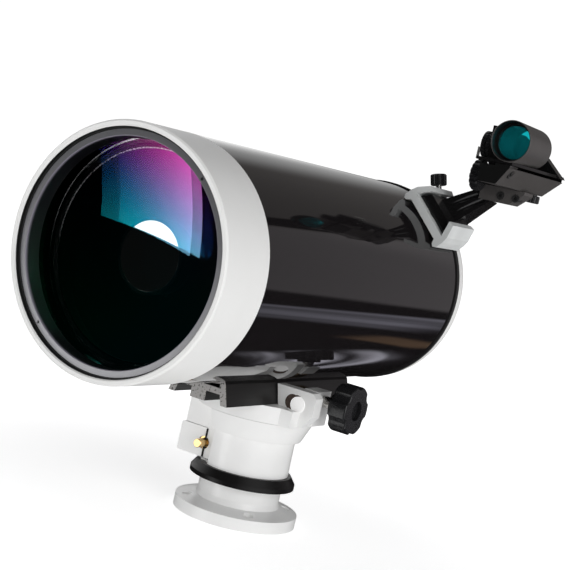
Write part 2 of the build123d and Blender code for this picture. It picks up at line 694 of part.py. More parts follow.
# ---- mount head ---------------------------------------------------------------------------
def saddle():
    """A round platform with a fixed jaw, a pierced ear and the clamp screw's boss."""
    top = AXIS_Z - BAR_BOTTOM - 0.1
    plate = rod(SADDLE_R, top - SADDLE_BOTTOM, (0, 0, SADDLE_BOTTOM), UP)
    plate += block(-34, 40, -25, 25, SADDLE_BOTTOM, top)
    section = Plane(origin=(0, 25, 0), x_dir=(1, 0, 0), z_dir=(0, -1, 0))
    jaw = [(-34, top - 3), (-34, top + 9.5), (-31, top + 12.5), (-19.2, top + 12.5),
           (-22.75, top), (-22.75, top - 3)]
    ear_top = AXIS_Z - 72.6
    ear = [(22.9, top - 3), (22.9, top), (19.4, ear_top), (46.5, ear_top), (49.5, ear_top - 3),
           (49.5, top - 2), (43, SADDLE_BOTTOM + 1), (30, SADDLE_BOTTOM)]
    boss = [(30, SADDLE_BOTTOM), (30, ear_top - 1), (41, ear_top - 1), (41, SADDLE_BOTTOM)]
    body = plate + prism(jaw, section, 50)
    body += Pos(0, -30, 0) * prism(ear, section, 10)
    body += Pos(0, CLAMP_Y - 16, 0) * prism(boss, section, 18)
    hole_z = AXIS_Z - 82.2
    body -= rod(5.9, 14, (36, -17, hole_z), BACK)
    body -= rod(4.0 + RUN, 20, (25, CLAMP_Y, AXIS_Z - CLAMP_DROP), RIGHT)
    body -= rod(SHAFT_R, 10, (0, 0, SADDLE_BOTTOM - 1), UP)
    return body


def clamp_knob():
    """Six round lobes with a recessed face."""
    lobes = 6
    outline = Circle(KNOB_R)
    for i in range(lobes):
        angle = 2 * pi * (i + 0.5) / lobes
        outline -= Pos(20.2 * cos(angle), 20.2 * sin(angle)) * Circle(5.6)
    knob = extrude(outline, 13.5)
    outer_edges = knob.edges().group_by(Axis.Z)
    knob = fillet(outer_edges[-1] + outer_edges[0], 1.2)
    knob -= Pos(0, 0, 10.5) * Cylinder(6.6, 4, align=(Align.CENTER, Align.CENTER, Align.MIN))
    knob += Pos(0, 0, -4) * Cylinder(8, 4.2, align=(Align.CENTER, Align.CENTER, Align.MIN))
    knob = frame_along((53, CLAMP_Y, AXIS_Z - CLAMP_DROP), RIGHT).location * knob
    return knob - rod(4.0, 9, (48.5, CLAMP_Y, AXIS_Z - CLAMP_DROP), RIGHT)


def clamp_pad():
    """The block that the clamp screw pushes against the bar's flank."""
    top = AXIS_Z - 75.0
    bottom = AXIS_Z - 85.6
    slope = (BAR_HALF - 18.3) / (BAR_BOTTOM - 72.4)
    near_bottom = BAR_HALF - slope * (BAR_BOTTOM - 85.6) + 0.1
    near_top = BAR_HALF - slope * (BAR_BOTTOM - 75.0) + 0.1
    plane = Plane(origin=(0, CLAMP_Y + 7, 0), x_dir=(1, 0, 0), z_dir=(0, -1, 0))
    return prism([(near_bottom, bottom), (27, bottom), (27, top), (near_top, top)], plane, 14)


def dec_housing():
    """The fixed body: a flared head, a drum, a foot flange and the worm block's bracket."""
    flare = HOUSING_TOP - 13.5
    body = turned(
        [(0, 0), (FLANGE_R, 0), (FLANGE_R, FLANGE_THICK), (29, FLANGE_THICK + 3), (28, 15),
         (28, CIRCLE_TOP + 0.1), (HOUSING_R, CIRCLE_TOP + 0.1), (HOUSING_R, flare),
         (33.8, flare), (39.5, HOUSING_TOP), (0, HOUSING_TOP)],
        (0, 0, 0), UP,
    )
    notch_x = BLOCK_X[1] + 1.0
    body -= block(-60, notch_x, -45, BLOCK_FRONT - 0.3, BLOCK_Z[0] - 2, HOUSING_TOP + 1)
    body += block(-41, notch_x - 0.2, BLOCK_FRONT + 0.7, BLOCK_BACK, BLOCK_Z[1] + 0.2, HOUSING_TOP)
    body -= block(-60, BLOCK_X[1] + 0.2, BLOCK_FRONT - 1, BLOCK_BACK + 3,
                  BLOCK_Z[0] - 0.5, BLOCK_Z[1] + 0.1)
    body -= rod(WHEEL_R + 1, 18, (0, 0, WORM_Z - 9), UP)
    body -= rod(SHAFT_R + 1, HOUSING_TOP, (0, 0, -1), UP)
    body -= rod(17, 9, (0, 0, HOUSING_TOP - 8), UP)
    body -= rod(17, 21, (0, 0, -1), UP)
    for i in range(4):
        angle = pi / 4 + i * pi / 2
        place = (FLANGE_PCD / 2 * cos(angle), FLANGE_PCD / 2 * sin(angle), -1)
        body -= rod(3.3, 12, place, UP)
    for y in (-12, 12):
        body -= rod(2.05, 12, (-36, y, BLOCK_Z[1] - 1), UP)
    return body


def worm_block():
    x0, x1 = BLOCK_X
    z0, z1 = BLOCK_Z
    body = block(x0, x1, BLOCK_FRONT, BLOCK_BACK, z0, z1)
    body = fillet(body.edges().filter_by(Axis.Y).group_by(Axis.X)[0], 1.5)
    body -= rod(7.0, 26, (WORM_X, -13, WORM_Z), BACK)
    body -= rod(4.4, 44, (WORM_X, -22, WORM_Z), BACK)
    body -= rod(6.0, 8, (WORM_X, 13, WORM_Z), BACK)
    body -= rod(WHEEL_R + 0.6, 13, (0, 0, WORM_Z - 6.5), UP)
    for y in (-12, 12):
        body -= rod(2.05, 30, (-36, y, z0 - 1), UP)
        body -= rod(3.8, 5, (-36, y, z0 - 1), UP)
    return body


def worm_block_screws():
    seat = BLOCK_Z[0] + 4.0
    return [socket_screw(3.5, 3.6, 2.0, 24, (-36, y, seat), -UP) for y in (-12, 12)]


def worm_shaft():
    """The worm on its shaft; the front end takes a slow-motion handle."""
    return turned(
        [(0, -28), (2.6, -28), (3.0, -27.5), (3.0, -19.5), (WORM_JOURNAL, -19.5),
         (WORM_JOURNAL, -11.5), (5.8, -11), (5.8, 11), (WORM_JOURNAL, 11.5),
         (WORM_JOURNAL, 21.4), (0, 21.4)],
        (WORM_X, 0, WORM_Z), BACK,
    )


def worm_bushes():
    return [
        sleeve(WORM_JOURNAL + RUN, 4.35, 5.5, (WORM_X, -18.8, WORM_Z), BACK),
        sleeve(WORM_JOURNAL + RUN, 5.9, 5.5, (WORM_X, 13.3, WORM_Z), BACK),
    ]


def setting_circle():
    """A ring that turns by hand on the drum below the worm block, with a bevelled scale."""
    inner = 28.0 + RUN
    outer = 36.0
    return turned(
        [(inner, CIRCLE_TOP - 8), (outer, CIRCLE_TOP - 8), (outer, CIRCLE_TOP - 5),
         (32.5, CIRCLE_TOP), (inner, CIRCLE_TOP)],
        (0, 0, 0), UP,
    )


def build_head():
    keep("saddle", saddle())
    keep("clamp_knob", clamp_knob())
    clamp_z = AXIS_Z - CLAMP_DROP
    keep("clamp_screw", rod(4.0, 30.4, (27.1, CLAMP_Y, clamp_z), RIGHT))
    keep("clamp_pad", clamp_pad())
    keep("dec_shaft", rod(SHAFT_R, SADDLE_BOTTOM + 8.9 - 4.2, (0, 0, 4.2), UP))
    keep("dec_nut", sleeve(SHAFT_R, 15, 6.5, (0, 0, 4.2), UP))
    keep("worm_wheel", sleeve(SHAFT_R, WHEEL_R, 11.0, (0, 0, WORM_Z - 5.5), UP))
    keep("dec_housing", dec_housing())
    keep("upper_bearing", sleeve(SHAFT_R + RUN, 16.95, 7.6, (0, 0, HOUSING_TOP - 7.9), UP))
    keep("lower_bearing", sleeve(SHAFT_R + RUN, 16.95, 8.0, (0, 0, 11.8), UP))
    keep("worm_block", worm_block())
    keep("worm_block_screws", *worm_block_screws())
    keep("worm_shaft", worm_shaft())
    keep("worm_bushes", *worm_bushes())
    keep("setting_circle", setting_circle())


build_tube()
build_finder()
build_head()
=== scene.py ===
"""A Maksutov telescope on its declination head: finishes, fine optical pieces and a studio."""
import json
from math import cos, pi, sin, sqrt

import bmesh
import bpy
from mathutils import Matrix, Vector

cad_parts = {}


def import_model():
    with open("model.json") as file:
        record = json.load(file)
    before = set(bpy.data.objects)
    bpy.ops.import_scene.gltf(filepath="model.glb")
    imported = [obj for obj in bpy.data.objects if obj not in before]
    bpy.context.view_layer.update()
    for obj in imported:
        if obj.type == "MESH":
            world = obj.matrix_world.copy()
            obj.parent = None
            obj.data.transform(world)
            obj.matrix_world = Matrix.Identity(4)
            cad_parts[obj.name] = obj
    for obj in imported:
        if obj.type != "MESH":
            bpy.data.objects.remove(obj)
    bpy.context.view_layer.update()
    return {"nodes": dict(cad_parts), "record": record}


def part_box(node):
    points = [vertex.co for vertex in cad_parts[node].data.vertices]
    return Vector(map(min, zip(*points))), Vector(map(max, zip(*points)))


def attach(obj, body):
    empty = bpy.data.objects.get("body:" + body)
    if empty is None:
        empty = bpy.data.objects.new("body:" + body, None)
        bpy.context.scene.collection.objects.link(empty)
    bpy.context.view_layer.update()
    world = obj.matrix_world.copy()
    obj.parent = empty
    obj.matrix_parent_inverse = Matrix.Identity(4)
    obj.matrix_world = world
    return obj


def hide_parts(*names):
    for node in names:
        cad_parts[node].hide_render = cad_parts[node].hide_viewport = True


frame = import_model()
nodes = frame["nodes"]
scene = bpy.context.scene
MM = 0.001


# ---- places read from the frame, and two given radii ---------------------------------------
def radius_of(node):
    """Radius of a node that is turned about an axis along Y."""
    low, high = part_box(node)
    return (high.x - low.x) / 2


cell_low, cell_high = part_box("front_cell")
AXIS_Z = (cell_high.z + cell_low.z) / 2
FRONT_Y = cell_low.y
CELL_R = radius_of("front_cell")
TUBE_R = radius_of("main_tube")
LENS_R = radius_of("corrector_lens")
SPOT_R = radius_of("secondary_spot")
hood_low, hood_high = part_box("finder_hood")
HOOD_X = (hood_low.x + hood_high.x) / 2
HOOD_Z = (hood_low.z + hood_high.z) / 2
# radii from the middle of the finder's window tube, between its bore and its outside
# and just past its outside: black paint lies within the one, painted shade beyond the other
BLACK_WITHIN = 13.6 * MM
SHADE_BEYOND = 14.5 * MM


def behind(distance):
    """Y of a place this many millimetres behind the front cell's face."""
    return FRONT_Y + distance * MM


def at(x, distance, rise):
    """A place by x, distance behind the front face and height above the axis, in mm."""
    return Vector((x * MM, behind(distance), AXIS_Z + rise * MM))


# ---- shader helpers ------------------------------------------------------------------------
def new_material(name):
    material = bpy.data.materials.new(name)
    material.use_nodes = True
    tree = material.node_tree
    return material, tree, tree.nodes["Principled BSDF"]


def calc(tree, operation, *values):
    """One math node; each value is an output or a number."""
    node = tree.nodes.new("ShaderNodeMath")
    node.operation = operation
    for socket, value in zip(node.inputs, values):
        if isinstance(value, (int, float)):
            socket.default_value = value
        else:
            tree.links.new(value, socket)
    return node.outputs[0]


def product(tree, first, *others):
    for other in others:
        first = calc(tree, "MULTIPLY", first, other)
    return first


def inverse(tree, value):
    """One less the value."""
    return calc(tree, "SUBTRACT", 1.0, value)


def between(tree, value, low, high):
    """One between two limits, nothing outside them."""
    return product(tree, calc(tree, "LESS_THAN", value, high),
                   calc(tree, "GREATER_THAN", value, low))


def length(tree, a, b):
    """Square root of the sum of two squares."""
    squares = calc(tree, "ADD", product(tree, a, a), product(tree, b, b))
    return calc(tree, "SQRT", squares)


def ramp(tree, value, low, high, to_low=0.0, to_high=1.0):
    """A smooth step from to_low to to_high as the value goes from low to high."""
    node = tree.nodes.new("ShaderNodeMapRange")
    node.interpolation_type = "SMOOTHSTEP"
    tree.links.new(value, node.inputs["Value"])
    node.inputs["From Min"].default_value = low
    node.inputs["From Max"].default_value = high
    node.inputs["To Min"].default_value = to_low
    node.inputs["To Max"].default_value = to_high
    return node.outputs["Result"]


def window(tree, value, low, high, soft):
    """One between two limits, with soft edges inside them."""
    return product(tree, ramp(tree, value, low, low + soft),
                   ramp(tree, value, high - soft, high, 1.0, 0.0))


def blend(tree, factor, a, b):
    """Mixes two colours, each an output or a constant."""
    node = tree.nodes.new("ShaderNodeMix")
    node.data_type = "RGBA"
    tree.links.new(factor, node.inputs["Factor"])
    for socket, value in ((node.inputs["A"], a), (node.inputs["B"], b)):
        if isinstance(value, (tuple, list)):
            socket.default_value = (*value, 1)
        else:
            tree.links.new(value, socket)
    return node.outputs["Result"]


def place(tree):
    """The point on the object, in the shared frame (a node's object sits at the origin)."""
    return tree.nodes.new("ShaderNodeTexCoord").outputs["Object"]


def split(tree, vector):
    node = tree.nodes.new("ShaderNodeSeparateXYZ")
    tree.links.new(vector, node.inputs[0])
    return node.outputs[0], node.outputs[1], node.outputs[2]


def combine(tree, values):
    node = tree.nodes.new("ShaderNodeCombineXYZ")
    for socket, value in zip(node.inputs, values):
        tree.links.new(value, socket)
    return node.outputs[0]


def noise(tree, vector, scale, detail=3.0, stretch=None):
    if stretch is not None:
        mapping = tree.nodes.new("ShaderNodeMapping")
        mapping.inputs["Scale"].default_value = stretch
        tree.links.new(vector, mapping.inputs["Vector"])
        vector = mapping.outputs[0]
    node = tree.nodes.new("ShaderNodeTexNoise")
    node.inputs["Scale"].default_value = scale
    node.inputs["Detail"].default_value = detail
    node.inputs["Roughness"].default_value = 0.55
    tree.links.new(vector, node.inputs["Vector"])
    return node.outputs["Fac"]


def grained(tree, value, low, high):
    """A noise's middle part, spread over a range."""
    return ramp(tree, value, 0.3, 0.7, low, high)


def bump(tree, shader, height, strength, distance):
    node = tree.nodes.new("ShaderNodeBump")
    node.inputs["Strength"].default_value = strength
    node.inputs["Distance"].default_value = distance
    tree.links.new(height, node.inputs["Height"])
    tree.links.new(node.outputs[0], shader.inputs["Normal"])


def finish(name, colour, rough, metal=0.0, vary=0.08, grain=900, grain_depth=0.00002,
           mottle=60, rough_vary=0.06, coat=0.0, coat_rough=0.05, specular=0.5,
           bump_strength=0.4):
    """A surface with mottled colour, uneven gloss and a fine grain."""
    material, tree, shader = new_material(name)
    point = place(tree)
    cloud = grained(tree, noise(tree, point, mottle), 0.0, 1.0)
    dark = [c * (1 - vary) for c in colour]
    light = [min(1.0, c * (1 + vary)) for c in colour]
    tree.links.new(blend(tree, cloud, dark, light), shader.inputs["Base Color"])
    fine = noise(tree, point, grain, 2.0)
    gloss = grained(tree, fine, max(0.02, rough - rough_vary), min(1.0, rough + rough_vary))
    tree.links.new(gloss, shader.inputs["Roughness"])
    shader.inputs["Metallic"].default_value = metal
    shader.inputs["Specular IOR Level"].default_value = specular
    shader.inputs["Coat Weight"].default_value = coat
    shader.inputs["Coat Roughness"].default_value = coat_rough
    bump(tree, shader, fine, bump_strength, grain_depth)
    return material


def off_axis(tree, point):
    """Distance from the optical axis, and the place along it."""
    x, y, z = split(tree, point)
    return length(tree, x, calc(tree, "SUBTRACT", z, AXIS_Z)), y


# ---- materials -----------------------------------------------------------------------------
FLAT_BLACK = (0.004, 0.004, 0.004)


def gloss_black():
    """Deep gloss lacquer outside; flat black inside the tube."""
    material, tree, shader = new_material("gloss_black")
    point = place(tree)
    radius, _ = off_axis(tree, point)
    outside = calc(tree, "GREATER_THAN", radius, TUBE_R - 0.6 * MM)
    cloud = noise(tree, point, 9)
    skin = blend(tree, cloud, (0.006, 0.005, 0.0055), (0.0085, 0.0075, 0.008))
    tree.links.new(blend(tree, outside, FLAT_BLACK, skin), shader.inputs["Base Color"])
    wave = noise(tree, point, 30, 2.0)
    gloss = calc(tree, "ADD", grained(tree, wave, 0.035, 0.06),
                 product(tree, inverse(tree, outside), 0.6))
    tree.links.new(gloss, shader.inputs["Roughness"])
    shader.inputs["Specular IOR Level"].default_value = 0.5
    bump(tree, shader, wave, 0.05, 0.0002)
    return material


def white_cell():
    """Satin white enamel outside; flat black inside the tube."""
    material, tree, shader = new_material("white_cell")
    point = place(tree)
    radius, y = off_axis(tree, point)
    cloud = noise(tree, point, 40)
    paint = blend(tree, cloud, (0.80, 0.80, 0.785), (0.845, 0.845, 0.835))
    hidden = product(tree, calc(tree, "LESS_THAN", radius, CELL_R - 1.8 * MM),
                     between(tree, y, behind(1.0), behind(331.5)))
    tree.links.new(blend(tree, hidden, paint, (0.006, 0.006, 0.006)),
                   shader.inputs["Base Color"])
    fine = noise(tree, point, 1500, 2.0)
    tree.links.new(grained(tree, fine, 0.34, 0.46), shader.inputs["Roughness"])
    bump(tree, shader, fine, 0.25, 0.00002)
    return material


def slope(tree, x, rise, start, per_x, per_rise):
    """A value that changes evenly across the lens, squared; never below nothing."""
    value = calc(tree, "MULTIPLY_ADD", x, per_x, start)
    value = calc(tree, "MULTIPLY_ADD", rise, per_rise, value)
    value = calc(tree, "MINIMUM", calc(tree, "MAXIMUM", value, 0.0), 1.0)
    return product(tree, value, value)


def lens_coat(name, share, lean=0.0):
    """An antireflection coat whose colour is set by place as a painted reflection tint:
    magenta above, teal below and lilac to the side.

    It reflects this share of the light. A lean tips its reflections sideways.
    """
    material, tree, shader = new_material(name)
    x, y, z = split(tree, place(tree))
    rise = calc(tree, "SUBTRACT", z, AXIS_Z)
    # painted reflection tint: the coat's colour changes across the lens to stand in for the
    # tints its reflections take
    # red, green and blue: value on the axis, change per metre of x and of rise
    colour = combine(tree, [slope(tree, x, rise, *channel) for channel in (
        (-0.04, 13.3, 10.5), (0.7, 4.7, -9.0), (0.75, 8.1, -4.1))])
    tree.links.new(colour, shader.inputs["Base Color"])
    shader.inputs["Metallic"].default_value = 1.0
    shader.inputs["Roughness"].default_value = 0.0
    shader.inputs["Alpha"].default_value = share
    if lean:
        geometry = tree.nodes.new("ShaderNodeNewGeometry")
        nx, ny, nz = split(tree, geometry.outputs["Normal"])
        unit = tree.nodes.new("ShaderNodeVectorMath")
        unit.operation = "NORMALIZE"
        tree.links.new(combine(tree, (calc(tree, "ADD", nx, lean), ny, nz)), unit.inputs[0])
        tree.links.new(unit.outputs[0], shader.inputs["Normal"])
    return material


def corrector():
    """Clear optical glass; its reflections come from the two coats."""
    material, tree, shader = new_material("corrector_glass")
    fine = noise(tree, place(tree), 20, 2.0)
    tree.links.new(blend(tree, fine, (0.92, 0.97, 0.95), (0.95, 0.98, 0.97)),
                   shader.inputs["Base Color"])
    shader.inputs["Roughness"].default_value = 0.0
    shader.inputs["Specular Tint"].default_value = (0, 0, 0, 1)
    shader.inputs["Transmission Weight"].default_value = 1.0
    shader.inputs["IOR"].default_value = 1.5
    return material


def ring_grey():
    """Dark anodised ring with a painted reflection that makes its face brighter below, and a
    painted highlight on its inner wall that fades to black with depth.
    """
    material, tree, shader = new_material("ring_grey")
    point = place(tree)
    radius, y = off_axis(tree, point)
    fine = noise(tree, point, 1800, 2.0)
    # painted reflection: the face's colour is lighter below the axis than above
    low = ramp(tree, split(tree, point)[2], AXIS_Z - 0.06, AXIS_Z + 0.05, 1.0, 0.0)
    face = blend(tree, low, blend(tree, fine, (0.15, 0.15, 0.16), (0.2, 0.2, 0.21)),
                 blend(tree, fine, (0.4, 0.4, 0.42), (0.48, 0.48, 0.5)))
    # painted highlight: the inner wall is grey-violet near the face and fades to black deeper
    # in
    depth = ramp(tree, y, behind(3.8), behind(6.2))
    wall = blend(tree, depth, (0.2, 0.185, 0.225), (0.003, 0.003, 0.004))
    inner = calc(tree, "LESS_THAN", radius, LENS_R - 0.8 * MM)
    tree.links.new(blend(tree, inner, face, wall), shader.inputs["Base Color"])
    tree.links.new(grained(tree, fine, 0.38, 0.48), shader.inputs["Roughness"])
    tree.links.new(product(tree, inverse(tree, inner), 0.6), shader.inputs["Metallic"])
    bump(tree, shader, fine, 0.4, 0.00002)
    return material


def seat_edge():
    """Polished edge of the lens seat, with a painted highlight above and painted shade below.
    """
    material, tree, shader = new_material("seat_edge")
    point = place(tree)
    # painted highlight and shade: the edge's colour is bright metal above the axis and
    # near-black below
    height = ramp(tree, split(tree, point)[2], AXIS_Z - 0.01, AXIS_Z + 0.05)
    fine = noise(tree, point, 900, 2.0)
    metal = blend(tree, fine, (0.9, 0.84, 0.9), (1.0, 0.95, 1.0))
    tree.links.new(blend(tree, height, (0.01, 0.01, 0.01), metal),
                   shader.inputs["Base Color"])
    tree.links.new(grained(tree, fine, 0.2, 0.3), shader.inputs["Roughness"])
    shader.inputs["Metallic"].default_value = 1.0
    return material


def bar_black():
    """Black anodised extrusion; the bar's sawn front end is bare and pitted."""
    material, tree, shader = new_material("black_anodised")
    point = place(tree)
    x, y, z = split(tree, point)
    bar_low, bar_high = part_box("dovetail_bar")
    sawn = product(tree, between(tree, y, bar_low.y - 1 * MM, bar_low.y + 0.3 * MM),
                   between(tree, z, bar_low.z - 1 * MM, bar_high.z))
    pits = ramp(tree, noise(tree, point, 700, 2.0), 0.56, 0.66)
    bare = blend(tree, pits, (0.34, 0.33, 0.32), (0.05, 0.045, 0.045))
    drawn = noise(tree, point, 900, 2.0, (1, 0.02, 1))
    skin = blend(tree, drawn, (0.004, 0.0037, 0.0037), (0.008, 0.0075, 0.0075))
    tree.links.new(blend(tree, sawn, skin, bare), shader.inputs["Base Color"])
    tree.links.new(grained(tree, drawn, 0.3, 0.4), shader.inputs["Roughness"])
    shader.inputs["Specular IOR Level"].default_value = 0.25
    bump(tree, shader, drawn, 0.3, 0.00003)
    return material


def mirror():
    """Aluminised glass, polished."""
    material, tree, shader = new_material("mirror")
    cloud = noise(tree, place(tree), 25)
    tree.links.new(blend(tree, cloud, (0.91, 0.915, 0.91), (0.94, 0.94, 0.93)),
                   shader.inputs["Base Color"])
    shader.inputs["Metallic"].default_value = 1.0
    shader.inputs["Roughness"].default_value = 0.0
    return material


def finder_glass():
    """Teal-coated window glass."""
    material, tree, shader = new_material("finder_glass")
    fine = noise(tree, place(tree), 60, 2.0)
    tree.links.new(blend(tree, fine, (0.0, 0.5, 0.56), (0.02, 0.6, 0.66)),
                   shader.inputs["Base Color"])
    shader.inputs["Roughness"].default_value = 0.0
    shader.inputs["Transmission Weight"].default_value = 0.82
    shader.inputs["Specular Tint"].default_value = (0.2, 0.9, 1.0, 1)
    return material


def finder_metal():
    """Dark anodised metal, black inside the window tube, with painted shade in black on the
    base's front face.
    """
    material, tree, shader = new_material("finder_metal")
    point = place(tree)
    x, y, z = split(tree, point)
    radius = length(tree, calc(tree, "SUBTRACT", x, HOOD_X),
                    calc(tree, "SUBTRACT", z, HOOD_Z))
    bore = calc(tree, "LESS_THAN", radius, BLACK_WITHIN)
    # painted shade: the base's front face, ahead of this place and outside the window tube, is
    # coloured black
    front = product(tree, calc(tree, "LESS_THAN", y, behind(262.3)),
                    calc(tree, "GREATER_THAN", radius, SHADE_BEYOND))
    dark = calc(tree, "MAXIMUM", bore, front)
    cloud = noise(tree, point, 60)
    skin = blend(tree, cloud, (0.066, 0.061, 0.059), (0.082, 0.077, 0.075))
    tree.links.new(blend(tree, dark, skin, FLAT_BLACK), shader.inputs["Base Color"])
    fine = noise(tree, point, 1300, 2.0)
    tree.links.new(grained(tree, fine, 0.36, 0.46), shader.inputs["Roughness"])
    tree.links.new(product(tree, inverse(tree, dark), 0.2), shader.inputs["Metallic"])
    bump(tree, shader, fine, 0.4, 0.00004)
    return material


def pin_white():
    """A bright machined end that glows a little: painted light, for it is no lamp."""
    material = finish("pin_end", (0.95, 0.94, 0.93), 0.5, vary=0.02)
    shader = material.node_tree.nodes["Principled BSDF"]
    # painted light: a weak white glow
    shader.inputs["Emission Color"].default_value = (1, 1, 1, 1)
    shader.inputs["Emission Strength"].default_value = 0.3
    return material


materials = {
    "white_cell": white_cell(),
    "white_casting": finish("white_casting", (0.93, 0.93, 0.92), 0.34, vary=0.02, grain=260,
                            grain_depth=0.00012, mottle=35, bump_strength=0.25, coat=0.3,
                            coat_rough=0.2),
    "shoe_casting": finish("shoe_casting", (0.66, 0.675, 0.67), 0.42, vary=0.05, grain=1400,
                           grain_depth=0.00006, bump_strength=0.6),
    "gloss_black": gloss_black(),
    "trim_black": finish("trim_black", (0.012, 0.012, 0.012), 0.5),
    "ring_grey": ring_grey(),
    "corrector_glass": corrector(),
    "finder_glass": finder_glass(),
    "mirror": mirror(),
    "inner_black": finish("inner_black", (0.008, 0.008, 0.008), 0.7),
    "bare_aluminium": finish("bare_aluminium", (0.62, 0.62, 0.61), 0.35, metal=1.0),
    "black_anodised": bar_black(),
    "steel": finish("steel", (0.58, 0.57, 0.55), 0.24, metal=1.0, grain=1500),
    "dark_steel": finish("dark_steel", (0.05, 0.05, 0.05), 0.35, metal=0.6),
    "brass": finish("brass", (0.83, 0.58, 0.26), 0.2, metal=1.0, grain=900),
    "knob_black": finish("knob_black", (0.011, 0.011, 0.012), 0.27, grain=1500,
                         specular=0.4),
    "focus_rubber": finish("focus_rubber", (0.02, 0.02, 0.02), 0.6, grain=1200),
    "finder_plastic": finish("finder_plastic", (0.006, 0.0057, 0.006), 0.2, grain=1100,
                             grain_depth=0.000012, specular=0.45),
    "finder_metal": finder_metal(),
    "emitter_red": finish("emitter_red", (0.5, 0.02, 0.02), 0.2),
    "film": finish("film", (0.82, 0.82, 0.80), 0.3, grain=400),
}
finishes = {part["node"]: part["material_slot"] for part in frame["record"]["subparts"]}
finishes.update(tilt_pin="dark_steel", clamp_bolts="dark_steel")
for name, obj in nodes.items():
    if not obj.material_slots:
        obj.data.materials.append(None)
    for material_slot in obj.material_slots:
        material_slot.material = materials[finishes[name]]


# ---- pieces made here ----------------------------------------------------------------------
def piece(name, mesh, body, material, smooth=False):
    """An object of a finished mesh that rides a body."""
    data = bpy.data.meshes.new(name)
    mesh.to_mesh(data)
    mesh.free()
    data.materials.append(material)
    if smooth:
        data.shade_smooth()
    obj = bpy.data.objects.new(name, data)
    scene.collection.objects.link(obj)
    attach(obj, body)
    return obj


def lathe(name, profile, body, material, centre=(0.0, AXIS_Z), turns=128,
          closed=False):
    """A surface turned about an axis along Y, from (radius, y) points."""
    mesh = bmesh.new()
    rings = []
    for radius, y in profile:
        angles = [2 * pi * i / turns for i in range(turns)] if radius > 0 else [0.0]
        rings.append([mesh.verts.new((centre[0] + radius * cos(angle), y,
                                      centre[1] + radius * sin(angle)))
                      for angle in angles])
    pairs = list(zip(rings, rings[1:]))
    if closed:
        pairs.append((rings[-1], rings[0]))
    for a, b in pairs:
        for i in range(turns):
            k = (i + 1) % turns
            if len(a) == 1:
                mesh.faces.new((a[0], b[k], b[i]))
            elif len(b) == 1:
                mesh.faces.new((a[i], a[k], b[0]))
            else:
                mesh.faces.new((a[i], a[k], b[k], b[i]))
    bmesh.ops.recalc_face_normals(mesh, faces=mesh.faces)
    return piece(name, mesh, body, material, smooth=True)


def block(name, low, high, body, material, edge=0.25 * MM):
    """A block between two corners with broken edges."""
    mesh = bmesh.new()
    size = [h - l for l, h in zip(low, high)]
    centre = [(h + l) / 2 for l, h in zip(low, high)]
    bmesh.ops.create_cube(mesh, size=1.0, matrix=Matrix.Translation(centre)
                          @ Matrix.Diagonal((*size, 1.0)))
    bmesh.ops.bevel(mesh, geom=mesh.edges[:], offset=edge, segments=2, profile=0.5,
                    affect="EDGES")
    return piece(name, mesh, body, material)


# the corrector: a deep meniscus, each face given by its curve and the place of its vertex
RIM = 0.05 * MM
FRONT_CURVE = 0.243
REAR_CURVE = 0.2486


def sag(radius, curve):
    """Depth of a spherical surface at a radius."""
    return curve - sqrt(curve * curve - radius * radius)


def points_down(face, inner, outer, offset=0.0, steps=24):
    """Points down a spherical lens face, moved along the axis by offset."""
    curve, vertex = face
    radii = [inner + (outer - inner) * i / steps for i in range(steps + 1)]
    return [(radius, vertex - sag(radius, curve) + offset) for radius in radii]


lens_low, lens_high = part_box("corrector_lens")
front_face = (FRONT_CURVE, lens_low.y + sag(LENS_R, FRONT_CURVE))
rear_face = (REAR_CURVE, lens_high.y)
rear_edge = lens_high.y - sag(LENS_R, REAR_CURVE)
lens = lathe("fine_lens",
             points_down(front_face, 0, LENS_R - RIM)
             + [(LENS_R, lens_low.y), (LENS_R, lens_low.y + RIM),
                (LENS_R, rear_edge - RIM), (LENS_R, rear_edge)]
             + points_down(rear_face, 0, LENS_R - RIM)[::-1],
             "tube", materials["corrector_glass"])
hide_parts("corrector_lens")

# the coats, two thin shells just off the glass; the rear one starts outside the spot
FRONT_GAP, REAR_GAP = 0.06 * MM, 0.04 * MM
FRONT_SHARE, REAR_SHARE, REAR_LEAN = 0.18, 0.35, 0.0072
lathe("front_coat", points_down(front_face, 0, LENS_R - 1.3 * MM, -FRONT_GAP), "tube",
      lens_coat("front_coat", FRONT_SHARE))
lathe("rear_coat", points_down(rear_face, SPOT_R + 0.1 * MM, LENS_R - 3.2 * MM, REAR_GAP),
      "tube", lens_coat("rear_coat", REAR_SHARE, REAR_LEAN))

# the aluminised spot on the lens's rear face
SPOT_DEPTH = 0.3 * MM
glass_side = (points_down(rear_face, 0, SPOT_R - RIM, REAR_GAP)
              + points_down(rear_face, SPOT_R - 0.01 * MM, SPOT_R, REAR_GAP, 1))
open_side = points_down(rear_face, 0, SPOT_R, SPOT_DEPTH)
spot = lathe("spot_mirror", glass_side + open_side[::-1], "tube", materials["mirror"])
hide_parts("secondary_spot")

# the round edge of the seat that the lens lies against
SEAT_R = LENS_R - 2.8 * MM
SEAT_EDGE = 0.5 * MM
seat_y = lens_high.y - sag(SEAT_R, REAR_CURVE) + 0.35 * MM
lathe("lens_seat_edge",
      [(SEAT_R + SEAT_EDGE * cos(pi * i / 6), seat_y + SEAT_EDGE * sin(pi * i / 6))
       for i in range(12)], "tube", seat_edge(), closed=True)

# a skirt behind the finder's base closes the gap under the body's floor
block("rear_skirt", at(97.5, 332.1, 98.0), at(124.6, 332.9, 102.5), "finder",
      materials["finder_plastic"])
# the foot's stop, beside the finder's base
block("foot_stop", at(80.5, 301.2, 85.9), at(89.6, 317.2, 89.6), "finder_foot",
      materials["finder_plastic"])
